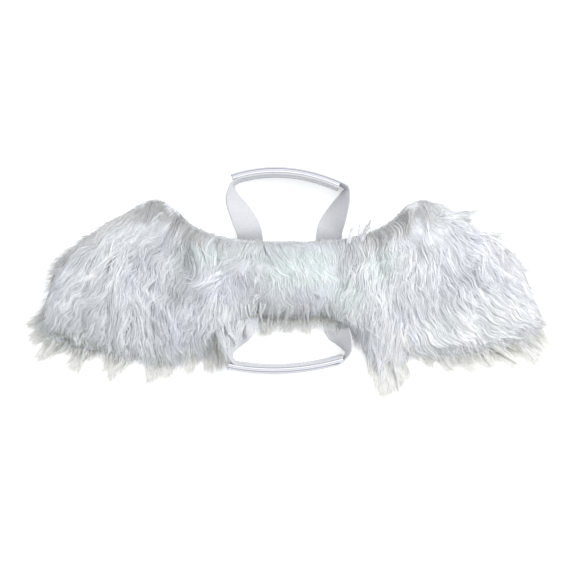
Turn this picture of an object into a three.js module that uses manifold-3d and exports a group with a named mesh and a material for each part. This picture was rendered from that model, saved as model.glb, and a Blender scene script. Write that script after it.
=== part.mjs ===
// Fur angel wings for a pet: two padded wings sewn to a padded bridge, with a neck strap and a
// chest strap, each closed by hook-and-loop tape. The wings lie face up on their flat backs.
// Millimetres. X runs along the span, Y towards the neck, Z up out of the fur.
// The origin is the middle of the bridge's flat back.

import * as THREE from "three";
import { mergeVertices } from "three/addons/utils/BufferGeometryUtils.js";
import Module from "manifold-3d";

const wasm = await Module();
wasm.setup();

// Driving sizes
const seamX = 48; // half the bridge's width, where a wing is sewn on
const gap = 0.3; // between pieces that meet
const padEdgeZ = 7; // height of the padding's rim above the back
const padRise = 12; // from the rim to the crown of the padding
const padRound = 45; // how far in from the rim the padding reaches its full height
const padEndX = 188; // the padding's outer ends
const backRound = 9; // how far in from the rim the back comes down flat
const rimBand = 1.2; // height of the sewn rim
const pileLength = 42; // of a lock of hair
const pileWidth = 17;
const pileThick = 7;
const pileLift = 8; // how far a lock rises off the padding
const lockTaper = 0.6; // below 1 a lock keeps its width towards the tip
const pastRim = 4; // how far a lying lock may reach over the rim
const rootDepth = 3; // how deep a lock starts in the padding
const rowStep = 17.5; // between rows of locks
const lockStep = 20.5; // between locks in a row
const fan = { x: 52, y: 62 }; // each wing is brushed outwards from this point
const strapWidth = 20;
const strapThick = 1.5;
const strapSteps = 42;
const tapeWidth = 17;
const tapeThick = 1;
const tabLength = 15; // of strap sewn flat on the bridge's back
const fur = { color: 0xe4e8ee, roughness: 0.9, metalness: 0 };
const webbing = { color: 0xe8eaf0, roughness: 0.85, metalness: 0 };
const tape = { color: 0xf2f2f4, roughness: 0.95, metalness: 0 };

// The padding's rim on the right of the middle, above and below. The left mirrors it.
const rim = {
  upper: [
    { x: 0, y: 29 },
    { x: 36, y: 30 },
    { x: 60, y: 35 },
    { x: 78, y: 44 },
    { x: 94, y: 58 },
    { x: 104, y: 61 },
    { x: 125, y: 50.5 },
    { x: 155, y: 31.5 },
    { x: 174, y: 15 },
    { x: 182, y: -10 },
    { x: 190, y: -36 },
  ],
  lower: [
    { x: 0, y: -29 },
    { x: 30, y: -30 },
    { x: 48, y: -37 },
    { x: 75, y: -50 },
    { x: 120, y: -53 },
    { x: 165, y: -47 },
    { x: 190, y: -36 },
  ],
};

// Locks rooted near the rim, which make the ragged edges. Most hang over it down to the floor.
const edgeLocks = [
  { panel: "left_wing", rootX: -168, rootY: -22, tipX: -204, tipY: -36, tipZ: 2, width: 17 },
  { panel: "left_wing", rootX: -170, rootY: -30, tipX: -202, tipY: -48, tipZ: 1.5, width: 26 },
  { panel: "left_wing", rootX: -166, rootY: -34, tipX: -196, tipY: -61, tipZ: 1.5, width: 24 },
  { panel: "left_wing", rootX: -152, rootY: -34, tipX: -181, tipY: -58, tipZ: 1.5, width: 24 },
  { panel: "left_wing", rootX: -150, rootY: -36, tipX: -168, tipY: -69, tipZ: 1.5, width: 25 },
  { panel: "left_wing", rootX: -138, rootY: -38, tipX: -154, tipY: -62, tipZ: 1.5, width: 25 },
  { panel: "left_wing", rootX: -124, rootY: -38, tipX: -137, tipY: -73, tipZ: 1.5, width: 27 },
  { panel: "left_wing", rootX: -112, rootY: -40, tipX: -122, tipY: -66, tipZ: 1.5, width: 25 },
  { panel: "left_wing", rootX: -98, rootY: -40, tipX: -108, tipY: -77, tipZ: 1.5, width: 25 },
  { panel: "left_wing", rootX: -86, rootY: -40, tipX: -94, tipY: -75, tipZ: 1.5, width: 25 },
  { panel: "left_wing", rootX: -73, rootY: -36, tipX: -78, tipY: -73, tipZ: 1.5, width: 25 },
  { panel: "left_wing", rootX: -62, rootY: -30, tipX: -63, tipY: -72, tipZ: 1.5, width: 22 },
  { panel: "left_wing", rootX: -60, rootY: -24, tipX: -57, tipY: -69, tipZ: 1.5, width: 13 },
  { panel: "bridge", rootX: -30, rootY: -16, tipX: -33, tipY: -39, tipZ: 8, width: 27 },
  { panel: "bridge", rootX: -14, rootY: -16, tipX: -18, tipY: -44, tipZ: 5, width: 28 },
  { panel: "bridge", rootX: 0, rootY: -16, tipX: -2, tipY: -42, tipZ: 5, width: 28 },
  { panel: "bridge", rootX: 14, rootY: -16, tipX: 14, tipY: -42, tipZ: 5, width: 28 },
  { panel: "bridge", rootX: 30, rootY: -16, tipX: 32, tipY: -40, tipZ: 8, width: 27 },
  { panel: "right_wing", rootX: 58, rootY: -20, tipX: 58, tipY: -56, tipZ: 4, width: 13 },
  { panel: "right_wing", rootX: 61, rootY: -28, tipX: 65, tipY: -80, tipZ: 1.5, width: 19 },
  { panel: "right_wing", rootX: 70, rootY: -34, tipX: 74, tipY: -91, tipZ: 1.5, width: 24 },
  { panel: "right_wing", rootX: 82, rootY: -36, tipX: 87, tipY: -83, tipZ: 1.5, width: 22 },
  { panel: "right_wing", rootX: 98, rootY: -38, tipX: 112, tipY: -68, tipZ: 1.5, width: 25 },
  { panel: "right_wing", rootX: 110, rootY: -38, tipX: 127, tipY: -72, tipZ: 1.5, width: 25 },
  { panel: "right_wing", rootX: 123, rootY: -38, tipX: 143, tipY: -73, tipZ: 1.5, width: 25 },
  { panel: "right_wing", rootX: 136, rootY: -36, tipX: 160, tipY: -69, tipZ: 1.5, width: 25 },
  { panel: "right_wing", rootX: 148, rootY: -35, tipX: 177, tipY: -67, tipZ: 1.5, width: 25 },
  { panel: "right_wing", rootX: 158, rootY: -32, tipX: 196, tipY: -64, tipZ: 1.5, width: 26 },
  { panel: "right_wing", rootX: 165, rootY: -24, tipX: 205, tipY: -54, tipZ: 2, width: 25 },
  { panel: "right_wing", rootX: 166, rootY: -10, tipX: 201, tipY: -35, tipZ: 3, width: 22 },
  { panel: "right_wing", rootX: 162, rootY: 8, tipX: 194, tipY: -13, tipZ: 5, width: 20 },
  { panel: "right_wing", rootX: 112, rootY: 45, tipX: 147, tipY: 51, tipZ: 8, width: 15 },
  { panel: "right_wing", rootX: 53, rootY: 24, tipX: 61, tipY: 46, tipZ: 8, width: 13 },
];

// A strap half leaves the bridge flat, rolls up on edge, and then follows its closure.
// "out" is the side of its heading that faces away from the loop: 1 left, -1 right.
const strapHalves = [
  {
    node: "neck_strap_left", closure: "neck", layer: "inner", out: 1,
    leg: [
      { x: -30, y: 30 - tabLength, roll: 0 },
      { x: -30, y: 30, roll: 0 },
      { x: -31.5, y: 39, roll: 8 },
      { x: -36.5, y: 50, roll: 30 },
      { x: -42, y: 61, roll: 53 },
      { x: -43.5, y: 69, roll: 78 },
      { x: -43, y: 73, roll: 88 },
    ],
  },
  {
    node: "neck_strap_right", closure: "neck", layer: "outer", out: -1,
    leg: [
      { x: 31, y: 30 - tabLength, roll: 0 },
      { x: 31, y: 30, roll: 0 },
      { x: 32, y: 39, roll: 8 },
      { x: 36.5, y: 50, roll: 36 },
      { x: 41.5, y: 61, roll: 61 },
      { x: 43.8, y: 68, roll: 78 },
      { x: 44.2, y: 70.5, roll: 88 },
    ],
  },
  {
    node: "chest_strap_left", closure: "chest", layer: "inner", out: -1,
    leg: [
      { x: -36, y: tabLength - 30, roll: 0 },
      { x: -36, y: -30, roll: 0 },
      { x: -36, y: -37, roll: 0 },
      { x: -37.5, y: -42, roll: 14 },
      { x: -41.5, y: -48, roll: 52 },
      { x: -44.5, y: -54.5, roll: 78 },
      { x: -44.5, y: -59.5, roll: 88 },
    ],
  },
  {
    node: "chest_strap_right", closure: "chest", layer: "outer", out: 1,
    leg: [
      { x: 36, y: tabLength - 30, roll: 0 },
      { x: 36, y: -30, roll: 0 },
      { x: 36, y: -36.5, roll: 0 },
      { x: 38, y: -41.5, roll: 14 },
      { x: 42.5, y: -47.5, roll: 54 },
      { x: 44.8, y: -53, roll: 70 },
      { x: 45, y: -57, roll: 86 },
    ],
  },
];

// The line between the two tapes where a strap's halves overlap, seen from above.
const closures = {
  neck: { start: [-43.5, 76.8], bow: [-3.8, 90], end: [38.5, 71.4], outward: 1 },
  chest: { start: [-46.5, -65], bow: [-3.8, -73.6], end: [41.5, -60.8], outward: -1 },
};
const tapeOffset = (tapeThick + gap) / 2;
const strapOffset = tapeOffset + tapeThick / 2 + gap + strapThick / 2;
const tapeInset = 0.15; // share of the closure left bare at each end of a tape

// The same numbers on every run, spread evenly between -1 and 1
function vary(index, kind) {
  const wave = Math.sin(index * 12.9898 + kind * 78.233) * 43758.5453;
  return 2 * (wave - Math.floor(wave)) - 1;
}

function smooth(value, from, to) {
  return THREE.MathUtils.smoothstep(value, from, to);
}

// Each rim line as an even run of points, from the middle outwards
const rimSteps = 48;
const rimLines = { upper: rimLine(rim.upper), lower: rimLine(rim.lower) };
const rimPoints = rimRing();

function rimLine(rows) {
  const mirrored = { x: -rows[1].x, y: rows[1].y };
  const knots = [mirrored, ...rows].map(({ x, y }) => new THREE.Vector2(x, y));
  return new THREE.SplineCurve(knots).getSpacedPoints(2 * rimSteps).filter(({ x }) => x >= 0);
}

// The whole rim as a closed ring, counter-clockwise from above
function rimRing() {
  const right = [...rimLines.lower, ...[...rimLines.upper].reverse()];
  const left = [...right].reverse().map(({ x, y }) => new THREE.Vector2(-x, y));
  return [...right, ...left, right[0]];
}

// Where a rim line passes a given x
function rimY(line, x) {
  const points = rimLines[line];
  const along = Math.abs(x);
  const next = Math.max(1, points.findIndex((point) => point.x >= along));
  const [a, b] = [points[next - 1], points[next]];
  return THREE.MathUtils.mapLinear(along, a.x, b.x, a.y, b.y);
}

// Distance from a point to the rim, negative outside it
function depthInside(x, y) {
  let nearest = Infinity;
  let inside = false;
  for (let i = 0; i + 1 < rimPoints.length; i++) {
    const a = rimPoints[i];
    const b = rimPoints[i + 1];
    const along = { x: b.x - a.x, y: b.y - a.y };
    const length = along.x ** 2 + along.y ** 2 || 1;
    const share = ((x - a.x) * along.x + (y - a.y) * along.y) / length;
    const t = THREE.MathUtils.clamp(share, 0, 1);
    nearest = Math.min(nearest, Math.hypot(a.x + t * along.x - x, a.y + t * along.y - y));
    if (a.y > y !== b.y > y && x < a.x + ((y - a.y) / along.y) * along.x) inside = !inside;
  }
  return inside ? nearest : -nearest;
}

// A quarter round: 0 at the rim, 1 from the given distance inside it
function quarterRound(depth, distance) {
  const left = 1 - THREE.MathUtils.clamp(depth / distance, 0, 1);
  return Math.sqrt(1 - left * left);
}

// Height of the padding's crowned top, falling away to the floor outside the rim
function padTop(x, y) {
  const depth = depthInside(x, y);
  if (depth < 0) return Math.max(2, padEdgeZ + depth / 2);
  return padEdgeZ + padRise * quarterRound(depth, padRound);
}

function padBottom(x, y) {
  return padEdgeZ * (1 - quarterRound(depthInside(x, y), backRound));
}

// The way the hair lies: out from each shoulder on the wings, straight down on the bridge
function combAngle(x, y) {
  const side = x < 0 ? -1 : 1;
  const down = -Math.PI / 2;
  const outwards = Math.atan2(y - fan.y, x - side * fan.x);
  return down + (outwards - down) * smooth(Math.abs(x), seamX / 2, seamX + 20);
}

function toSolid(geometry) {
  const bare = geometry.clone();
  bare.deleteAttribute("normal");
  bare.deleteAttribute("uv");
  const merged = mergeVertices(bare, 1e-4);
  return new wasm.Manifold(
    new wasm.Mesh({
      numProp: 3,
      vertProperties: new Float32Array(merged.attributes.position.array),
      triVerts: new Uint32Array(merged.index.array),
    }),
  );
}

function toMesh(name, solid, look) {
  const made = solid.getMesh();
  const geometry = new THREE.BufferGeometry();
  geometry.setAttribute("position", new THREE.BufferAttribute(made.vertProperties, 3));
  geometry.setIndex(new THREE.BufferAttribute(made.triVerts, 1));
  geometry.computeVertexNormals();
  const mesh = new THREE.Mesh(geometry, new THREE.MeshStandardMaterial(look));
  mesh.name = name;
  return mesh;
}

// The stuffed form of both wings and the bridge: a box pressed between the rim lines
function padding() {
  const geometry = new THREE.BoxGeometry(2, 2, 2, 40, 8, 1);
  const position = geometry.attributes.position;
  for (let k = 0; k < position.count; k++) {
    const x = padEndX * Math.sin((position.getX(k) * Math.PI) / 2);
    const across = (1 + Math.sin((position.getY(k) * Math.PI) / 2)) / 2;
    const y = THREE.MathUtils.lerp(rimY("lower", x), rimY("upper", x), across);
    const onTop = position.getZ(k) > 0;
    const onRim = Math.abs(position.getX(k)) > 0.999 || Math.abs(position.getY(k)) > 0.999;
    const rimZ = padEdgeZ + (onTop ? rimBand : -rimBand) / 2;
    const z = onTop ? Math.max(rimZ, padTop(x, y)) : Math.min(rimZ, padBottom(x, y));
    position.setXYZ(k, x, y, onRim ? rimZ : z);
  }
  return toSolid(geometry);
}

// One lock: a cone bent along a curve, flattened, with a ridge along its top
function lock({ root, crest, tip, width, thick }) {
  const path = new THREE.QuadraticBezierCurve3(root, crest, tip);
  const geometry = new THREE.ConeGeometry(1, 1, 4, 4);
  const position = geometry.attributes.position;
  const up = new THREE.Vector3(0, 0, 1);
  for (let k = 0; k < position.count; k++) {
    const t = position.getY(k) + 0.5;
    const radius = Math.hypot(position.getX(k), position.getZ(k));
    const fullness = radius > 1e-6 ? Math.pow(1 - t, lockTaper) / radius : 0;
    const tangent = path.getTangent(t);
    const across = new THREE.Vector3().crossVectors(tangent, up).normalize();
    const ridge = new THREE.Vector3().crossVectors(across, tangent);
    const point = path
      .getPoint(t)
      .addScaledVector(across, position.getX(k) * fullness * width * 0.5)
      .addScaledVector(ridge, position.getZ(k) * fullness * thick * 0.5);
    position.setXYZ(k, point.x, point.y, Math.max(point.z, gap));
  }
  return toSolid(geometry);
}

// A lock that lies on the padding, along the way the hair is brushed
function lyingLock(x, y, index) {
  const angle = combAngle(x, y) + 0.16 * vary(index, 1);
  let length = pileLength * (1 + 0.12 * vary(index, 2));
  while (depthInside(x + Math.cos(angle) * length, y + Math.sin(angle) * length) < -pastRim) length -= 1;
  const reach = (share) => [x + Math.cos(angle) * length * share, y + Math.sin(angle) * length * share];
  const [crestX, crestY] = reach(0.5);
  const [tipX, tipY] = reach(1);
  return lock({
    root: new THREE.Vector3(x, y, padTop(x, y) - rootDepth),
    crest: new THREE.Vector3(crestX, crestY, padTop(crestX, crestY) + pileLift),
    tip: new THREE.Vector3(tipX, tipY, padTop(tipX, tipY) + 1),
    width: pileWidth * (1 + 0.15 * vary(index, 3)),
    thick: pileThick,
  });
}

// A lock rooted near the rim, which bends over it and comes down to its tip
function edgeLock({ rootX, rootY, tipX, tipY, tipZ, width }) {
  const crestX = THREE.MathUtils.lerp(rootX, tipX, 0.55);
  const crestY = THREE.MathUtils.lerp(rootY, tipY, 0.55);
  return lock({
    root: new THREE.Vector3(rootX, rootY, padTop(rootX, rootY) - rootDepth),
    crest: new THREE.Vector3(crestX, crestY, padTop(crestX, crestY) + pileLift),
    tip: new THREE.Vector3(tipX, tipY, tipZ),
    width,
    thick: pileThick,
  });
}

// A panel of the fur: its stretch of the padding, with its locks fused on
function furPanel(name, form, fromX, toX) {
  const margin = 10; // locks start this far inside the panel's seams
  const locks = edgeLocks.filter(({ panel }) => panel === name).map(edgeLock);
  let index = 0;
  for (let row = 0, y = 52; y > -45; y -= rowStep, row++) {
    for (let x = -186 + (row % 2) * (lockStep / 2); x < 190; x += lockStep) {
      index += 1;
      const rootX = x + 3 * vary(index, 4);
      const rootY = y + 3 * vary(index, 5);
      const inPanel = rootX > fromX + margin && rootX < toX - margin;
      if (inPanel && depthInside(rootX, rootY) > 7) locks.push(lyingLock(rootX, rootY, index));
    }
  }
  const slab = new THREE.BoxGeometry(toX - fromX, 400, 100).translate((fromX + toX) / 2, 0, 0);
  const shells = form.add(wasm.Manifold.union(locks)).intersect(toSolid(slab)).decompose();
  return shells.reduce((best, shell) => (shell.volume() > best.volume() ? shell : best));
}

// Shallow pockets that the sewn strap ends press into the bridge's soft back, open at the rim
function tabPockets() {
  const boxes = strapHalves.map(({ leg }) => {
    const [inner, outer] = [leg[0], leg[2]];
    const long = Math.abs(outer.y - inner.y) + 2 * gap;
    const box = new THREE.BoxGeometry(strapWidth + 2 * gap, long, 2 * (strapThick + gap));
    return toSolid(box.translate(inner.x, (inner.y + outer.y) / 2, 0));
  });
  return wasm.Manifold.union(boxes);
}

// A point on a closure's line, moved sideways by offset, away from the loop if positive
function closurePoint(closure, share, offset) {
  const [start, bow, end] = [closure.start, closure.bow, closure.end].map((p) => new THREE.Vector2(...p));
  const line = new THREE.QuadraticBezierCurve(start, bow, end);
  const heading = line.getTangent(share);
  const sideways = new THREE.Vector2(-heading.y, heading.x).multiplyScalar(closure.outward * offset);
  return line.getPoint(share).add(sideways);
}

// A flat band swept along stations of x, y and roll, with its lower edge at the given height
function band(stations, { width, thick, out, steps, floorZ }) {
  const rollScale = 6; // degrees of roll that count as a millimetre of route
  const knots = stations.map(({ x, y, roll }) => new THREE.Vector3(x, y, roll / rollScale));
  const route = new THREE.CatmullRomCurve3(knots, false, "centripetal");
  const corners = [[0.5, 0.5], [-0.5, 0.5], [-0.5, -0.5], [0.5, -0.5]];
  const points = [];
  for (let i = 0; i <= steps; i++) {
    const { x, y, z } = route.getPointAt(i / steps);
    const roll = THREE.MathUtils.degToRad(THREE.MathUtils.clamp(z * rollScale, 0, 90));
    const heading = route.getTangentAt(i / steps).setZ(0).normalize();
    const away = new THREE.Vector3(-heading.y, heading.x, 0).multiplyScalar(out);
    const across = away.clone().multiplyScalar(Math.cos(roll)).setZ(Math.sin(roll));
    const face = away.clone().multiplyScalar(-Math.sin(roll)).setZ(Math.cos(roll));
    const rest = floorZ + (width / 2) * Math.sin(roll) + (thick / 2) * Math.cos(roll);
    for (const [side, over] of corners) {
      const point = new THREE.Vector3(x, y, rest);
      points.push(point.addScaledVector(across, side * width * out).addScaledVector(face, over * thick));
    }
  }
  const geometry = new THREE.BufferGeometry().setFromPoints(points);
  geometry.setIndex(bandFaces(steps));
  return toSolid(geometry);
}

// Faces of a band of four-cornered sections, split the same way on both of its faces
function bandFaces(steps) {
  const faces = [];
  const quad = (a, b, c, d) => faces.push(a, c, b, a, d, c);
  for (let i = 0; i < steps; i++) {
    const here = 4 * i;
    const next = here + 4;
    quad(here, next, next + 1, here + 1);
    quad(here + 1, next + 1, next + 2, here + 2);
    quad(next + 2, next + 3, here + 3, here + 2);
    quad(here + 3, next + 3, next, here);
  }
  const last = 4 * steps;
  quad(0, 1, 2, 3);
  quad(last + 3, last + 2, last + 1, last);
  return faces;
}

// Stations on edge along a closure, from one share of it to another
function closureStations(closure, offset, from, to) {
  const count = 13;
  return Array.from({ length: count }, (_, i) => {
    const share = THREE.MathUtils.lerp(from, to, i / (count - 1));
    const { x, y } = closurePoint(closure, share, offset);
    return { x, y, roll: 90 };
  });
}

function strapHalf({ closure, layer, out, leg }) {
  const inner = layer === "inner";
  const offset = inner ? -strapOffset : strapOffset;
  const [from, to] = inner ? [0.06, 1] : [0.96, 0];
  const stations = [...leg, ...closureStations(closures[closure], offset, from, to)];
  return band(stations, { width: strapWidth, thick: strapThick, out, steps: strapSteps, floorZ: 0 });
}

function closureTape(closure, offset) {
  const stations = closureStations(closures[closure], offset, tapeInset, 1 - tapeInset);
  const floorZ = (strapWidth - tapeWidth) / 2;
  const out = closures[closure].outward;
  return band(stations, { width: tapeWidth, thick: tapeThick, out, steps: 14, floorZ });
}

const wings = new THREE.Group();
const form = padding();
const reach = 240; // well past the longest hair
wings.add(toMesh("left_wing", furPanel("left_wing", form, -reach, -seamX - gap / 2), fur));
wings.add(toMesh("right_wing", furPanel("right_wing", form, seamX + gap / 2, reach), fur));
const bridge = furPanel("bridge", form, -seamX + gap / 2, seamX - gap / 2).subtract(tabPockets());
wings.add(toMesh("bridge", bridge, fur));
for (const half of strapHalves) wings.add(toMesh(half.node, strapHalf(half), webbing));
for (const name of Object.keys(closures)) {
  wings.add(toMesh(name + "_loop_tape", closureTape(name, -tapeOffset), tape));
  wings.add(toMesh(name + "_hook_tape", closureTape(name, tapeOffset), tape));
}

export default wings;
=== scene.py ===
import bpy
import math
import numpy as np
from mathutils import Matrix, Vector
from mathutils.kdtree import KDTree


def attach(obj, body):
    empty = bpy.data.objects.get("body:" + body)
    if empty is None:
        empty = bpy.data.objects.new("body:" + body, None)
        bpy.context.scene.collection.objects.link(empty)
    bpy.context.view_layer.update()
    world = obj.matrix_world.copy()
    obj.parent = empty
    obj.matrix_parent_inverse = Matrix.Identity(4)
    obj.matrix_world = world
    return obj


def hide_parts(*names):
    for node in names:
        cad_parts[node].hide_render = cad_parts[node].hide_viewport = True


# fur angel wings for a pet, lying face up, seen from straight above
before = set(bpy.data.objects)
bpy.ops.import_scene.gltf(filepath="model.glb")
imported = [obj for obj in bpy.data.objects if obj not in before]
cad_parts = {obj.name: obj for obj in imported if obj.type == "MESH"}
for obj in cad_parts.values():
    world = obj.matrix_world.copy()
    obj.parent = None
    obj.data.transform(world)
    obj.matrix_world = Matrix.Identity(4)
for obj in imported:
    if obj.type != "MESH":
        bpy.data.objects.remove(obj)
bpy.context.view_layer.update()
print("frame:", len(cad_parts), "nodes")

scene = bpy.context.scene
mm = 0.001
seeded = np.random.default_rng
rng = seeded(11)


class Look(dict):
    __getattr__ = dict.__getitem__  # what a piece looks like, read as look.width


def srgb(r, g, b):
    linear = [c / 255 / 12.92 if c < 10.3 else ((c / 255 + 0.055) / 1.055) ** 2.4 for c in (r, g, b)]
    return (*linear, 1.0)


def ease(v, a, b):
    t = np.clip((v - a) / (b - a), 0, 1)
    return t * t * (3 - 2 * t)


def atLeast(least, share):
    return least + (1 - least) * share


def newObject(name, data):
    ob = bpy.data.objects.new(name, data)
    scene.collection.objects.link(ob)
    return ob


def meshObject(name, co, quads, material):
    # co in millimetres
    me = bpy.data.meshes.new(name)
    quads = np.asarray(quads, np.int32)
    me.vertices.add(len(co))
    me.vertices.foreach_set("co", (np.asarray(co, np.float32) * mm).ravel())
    me.loops.add(quads.size)
    me.loops.foreach_set("vertex_index", quads.ravel())
    me.polygons.add(len(quads))
    me.polygons.foreach_set("loop_start", np.arange(0, quads.size, 4, dtype=np.int32))
    me.polygons.foreach_set("use_smooth", np.ones(len(quads), bool))
    me.update(calc_edges=True)
    me.materials.append(material)
    ob = newObject(name, me)
    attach(ob, "root")
    return ob


def meshPoints(me):
    co = np.empty(len(me.vertices) * 3, np.float32)
    me.vertices.foreach_get("co", co)
    return co.reshape(-1, 3)


def gridQuads(lines, points, closed=False):
    # between lines of points, one line after another
    i, j = np.meshgrid(np.arange(lines - 1), np.arange(points if closed else points - 1), indexing="ij")
    near, far = i * points, (i + 1) * points
    after = (j + 1) % points
    return np.stack([near + j, far + j, far + after, near + after], -1).reshape(-1, 4)


def setUv(ob, name, uv):
    layer = ob.data.uv_layers.new(name=name)
    layer.data.foreach_set("uv", np.asarray(uv, np.float32).ravel())


def setTint(ob, rgb):
    rgba = np.ones((len(rgb), 4), np.float32)
    rgba[:, :3] = rgb
    layer = ob.data.color_attributes.new(name="tint", type="FLOAT_COLOR", domain="POINT")
    layer.data.foreach_set("color", rgba.ravel())


def splinePoints(knots, perSpan=24):
    # centripetal curve through the knots
    k = np.asarray(knots, float)
    k = np.vstack([2 * k[0] - k[1], k, 2 * k[-1] - k[-2]])
    t = np.concatenate([[0], np.cumsum(np.sqrt(np.linalg.norm(np.diff(k, axis=0), axis=1)))])
    between = lambda a, b, ta, tb, u: (tb - u) / (tb - ta) * a + (u - ta) / (tb - ta) * b
    out = []
    for i in range(1, len(k) - 2):
        u = np.linspace(t[i], t[i + 1], perSpan, endpoint=False)[:, None]
        a = [between(k[j], k[j + 1], t[j], t[j + 1], u) for j in (i - 1, i, i + 1)]
        b = [between(a[j], a[j + 1], t[i - 1 + j], t[i + 1 + j], u) for j in (0, 1)]
        out.append(between(b[0], b[1], t[i], t[i + 1], u))
    return np.vstack(out + [k[-2:-1]])


def runLength(points):
    return np.concatenate([[0], np.cumsum(np.linalg.norm(np.diff(points, axis=0), axis=1))])


def evenPoints(points, count):
    run = runLength(points)
    want = np.linspace(0, run[-1], count)
    return np.stack([np.interp(want, run, column) for column in points.T], axis=1)


def bowed(start, bow, end, share):
    return (1 - share) ** 2 * start + 2 * share * (1 - share) * bow + share ** 2 * end


# the stuffed form: rim lines right of the middle, mirrored on the left

pad = Look(
    seamX=48, endX=188, gap=0.3, edgeZ=7, lip=0.5, crown=10, round=45, backRound=9,
    upper=[(0, 29), (36, 30), (60, 35), (78, 44), (94, 58), (104, 61), (125, 50.5),
           (155, 31.5), (174, 15), (182, -10), (190, -36)],
    lower=[(0, -29), (30, -30), (48, -37), (75, -50), (120, -53), (165, -47), (190, -36)],
    rimPoints=120, rows=28, wingColumns=60, bridgeColumns=44,
    # middle and inner end of each strap tab, and how the tabs press into the back
    tabs=[(-30, 15), (31, 15), (-36, -15), (36, -15)], tabHalf=12.5, tabPast=2.5, tabDepth=2.1,
    pucker=0.3, puckerRate=0.9, puckerDepth=4,  # along the sewn rim
    floorZ=0.8, fall=0.55,  # the ground outside the rim, under the hairs that hang over it
    # most of the top swells this far, and no point moves further than the cap
    swell=2.0, most=80, cap=3.0, pressure=4, slack=0.02, frames=20, lowestZ=0.05,
)


def rimLine(rows):
    line = splinePoints([(-rows[1][0], rows[1][1])] + rows)
    return evenPoints(line[line[:, 0] >= 0], pad.rimPoints)


rimUpper, rimLower = rimLine(pad.upper), rimLine(pad.lower)
rightRim = np.vstack([rimLower, rimUpper[::-1]])
rimRing = np.vstack([rightRim, rightRim[::-1] * (-1, 1)])
gridX, gridY = np.arange(-220, 221, 1.0), np.arange(-105, 100, 1.0)  # a map with a point every millimetre
mapX, mapY = np.meshgrid(gridX, gridY)


def distanceInside():
    # how far each point of the map lies inside the rim, negative outside
    near = np.full(mapX.shape, 1e9)
    inside = np.zeros(mapX.shape, bool)
    for a, b in zip(rimRing, np.roll(rimRing, -1, axis=0)):
        d = b - a
        if d @ d < 1e-9:
            continue
        t = np.clip(((mapX - a[0]) * d[0] + (mapY - a[1]) * d[1]) / (d @ d), 0, 1)
        near = np.minimum(near, np.hypot(a[0] + t * d[0] - mapX, a[1] + t * d[1] - mapY))
        if a[1] != b[1]:
            inside ^= ((a[1] > mapY) != (b[1] > mapY)) & (mapX < a[0] + (mapY - a[1]) / d[1] * d[0])
    return np.where(inside, near, -near)


def blended(field, i, j, u, v):
    low = field[j, i] * (1 - u) + field[j, i + 1] * u
    high = field[j + 1, i] * (1 - u) + field[j + 1, i + 1] * u
    return low * (1 - v) + high * v


def sample(field, place):
    # reads a map at places whose last axis starts with x and y
    u = np.clip(place[..., 0] - gridX[0], 0, len(gridX) - 1.001)
    v = np.clip(place[..., 1] - gridY[0], 0, len(gridY) - 1.001)
    i, j = u.astype(int), v.astype(int)
    return blended(field, i, j, u - i, v - j)


def hills(size, seed):
    # smooth random hills about size millimetres apart, between -1 and 1
    cells = [int(np.ptp(grid) / size) + 4 for grid in (gridY, gridX)]
    coarse = seeded(seed).uniform(-1, 1, cells)
    u, v = (gridX - gridX[0]) / size, (gridY[:, None] - gridY[0]) / size
    i, j = u.astype(int), v.astype(int)
    return blended(coarse, i, j, ease(u - i, 0, 1), ease(v - j, 0, 1))


def quarterRound(depth, distance):
    left = 1 - np.clip(depth / distance, 0, 1)
    return np.sqrt(1 - left * left)


depthField = distanceInside()
topField = np.where(depthField >= 0, pad.edgeZ + pad.crown * quarterRound(depthField, pad.round),
                    np.maximum(pad.floorZ, pad.edgeZ + pad.fall * depthField))


# materials

def setInputs(node, values):
    for name, value in values.items():
        node.inputs[name].default_value = value


def newMaterial(name, roughness, sheen=0.0):
    material = bpy.data.materials.new(name)
    material.use_nodes = True
    tree = material.node_tree
    shader = tree.nodes["Principled BSDF"]
    setInputs(shader, {"Roughness": roughness, "Sheen Weight": sheen})
    return material, tree, shader


def addNode(tree, kind, wires=(), settings=(), **values):
    # wires are what feeds its sockets, values are for the other sockets
    node = tree.nodes.new("ShaderNode" + kind)
    for name, value in dict(settings).items():
        setattr(node, name, value)
    setInputs(node, values)
    for socket, source in dict(wires).items():
        tree.links.new(source, node.inputs[socket])
    return node


def addRamp(tree, source, dark, light, ends=(0.3, 0.7)):
    ramp = addNode(tree, "ValToRGB", {"Fac": source})
    for element, place, color in zip(ramp.color_ramp.elements, ends, (dark, light)):
        element.position = place
        element.color = srgb(*color)
    return ramp.outputs["Color"]


def addBump(tree, height, shader, strength, distance):
    bump = addNode(tree, "Bump", {"Height": height}, Strength=strength, Distance=distance)
    tree.links.new(bump.outputs["Normal"], shader.inputs["Normal"])


def addTint(tree, color, shader):
    # the tint stored on the mesh, times the material's own colour
    tint = addNode(tree, "Attribute", settings={"attribute_name": "tint"}).outputs["Color"]
    mixing = {"data_type": "RGBA", "blend_type": "MULTIPLY"}
    shaded = addNode(tree, "Mix", {"A": color, "B": tint}, mixing, Factor=1)
    tree.links.new(shaded.outputs["Result"], shader.inputs["Base Color"])


def backingMaterial():
    # the knitted ground that the pile grows from, bare on the back
    material, tree, shader = newMaterial("backing", roughness=0.9, sheen=0.3)
    place = {"Vector": addNode(tree, "TexCoord").outputs["Object"]}
    knit = addNode(tree, "TexWave", place, Scale=420, Distortion=1.5, Detail=2).outputs["Fac"]
    fuzz = addNode(tree, "TexNoise", place, Scale=260, Detail=5).outputs["Fac"]
    tree.links.new(addRamp(tree, fuzz, (198, 202, 208), (230, 233, 238)), shader.inputs["Base Color"])
    addBump(tree, knit, shader, strength=0.5, distance=0.0006)
    return material


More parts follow.
